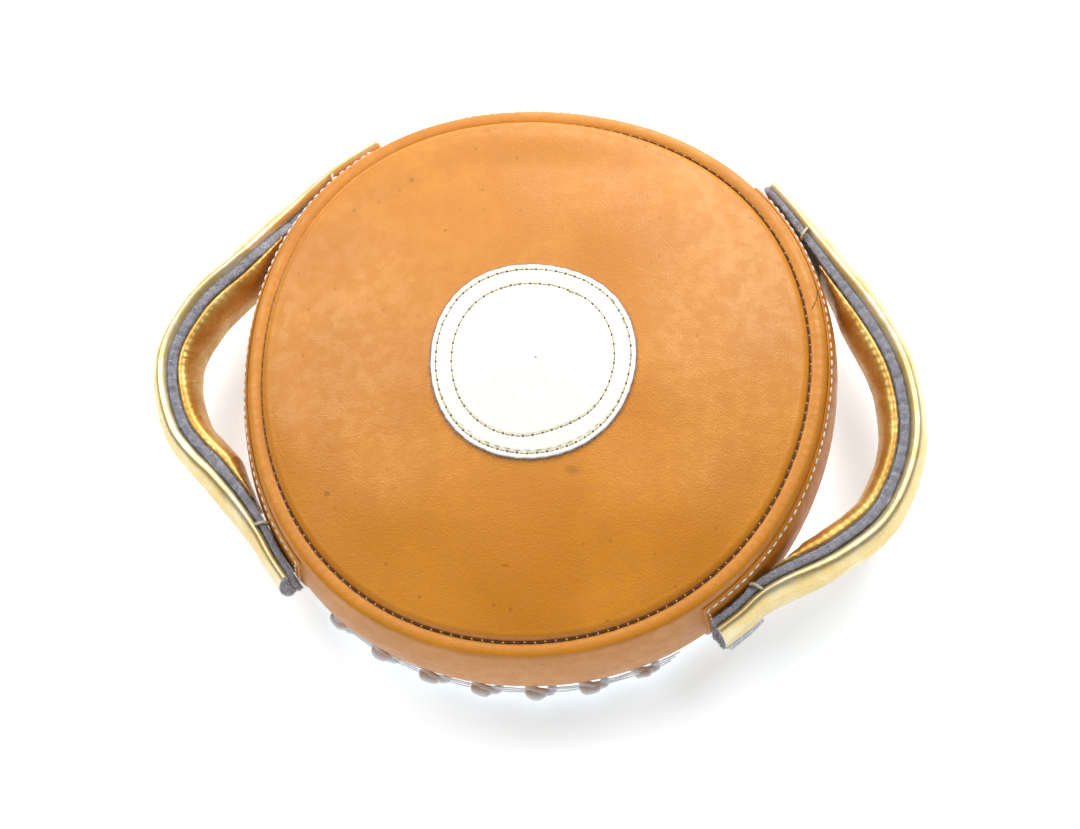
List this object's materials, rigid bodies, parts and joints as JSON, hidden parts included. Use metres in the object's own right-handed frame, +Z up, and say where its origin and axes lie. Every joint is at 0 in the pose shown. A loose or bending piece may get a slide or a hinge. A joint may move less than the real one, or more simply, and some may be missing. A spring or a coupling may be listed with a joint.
{
  "type": "round leather striking pad",
  "caption": "Round stuffed leather pad with a target disc on its face and a padded grip on each side, held up by a trainer to take punches and kicks.",
  "frame": {"origin": "centre of the flat back, on the surface that the pad lies on", "axes": "+Z up out of the struck face, +X through the right grip, -Y towards the laced edge"},
  "size_m": [0.4976, 0.379, 0.1063],
  "materials": {
    "tan_leather": "smooth vegetable-tanned leather with a soft sheen",
    "gold_leather": "gold foil leather, glossy",
    "pale_gold_leather": "pale gold foil leather, satin",
    "silver_leather": "silver-white foil leather, satin",
    "grey_raw_edge": "raw flesh-side edge, fuzzy and matt",
    "white_lace": "flat woven lace, matt"
  },
  "bodies": {
    "root": {"face_panel": "tan_leather", "side_band": "tan_leather", "back_panel": "silver_leather", "lacing_strip": "silver_leather", "lace": "white_lace", "target_patch": "pale_gold_leather", "far_patch": "silver_leather", "handle_patch_left": "tan_leather", "strap_left": "gold_leather", "seam_left": "grey_raw_edge", "grip_left": "gold_leather", "handle_patch_right": "tan_leather", "strap_right": "gold_leather", "seam_right": "grey_raw_edge", "grip_right": "gold_leather", "tab_edge_right": "silver_leather"}
  },
  "joints": []
}
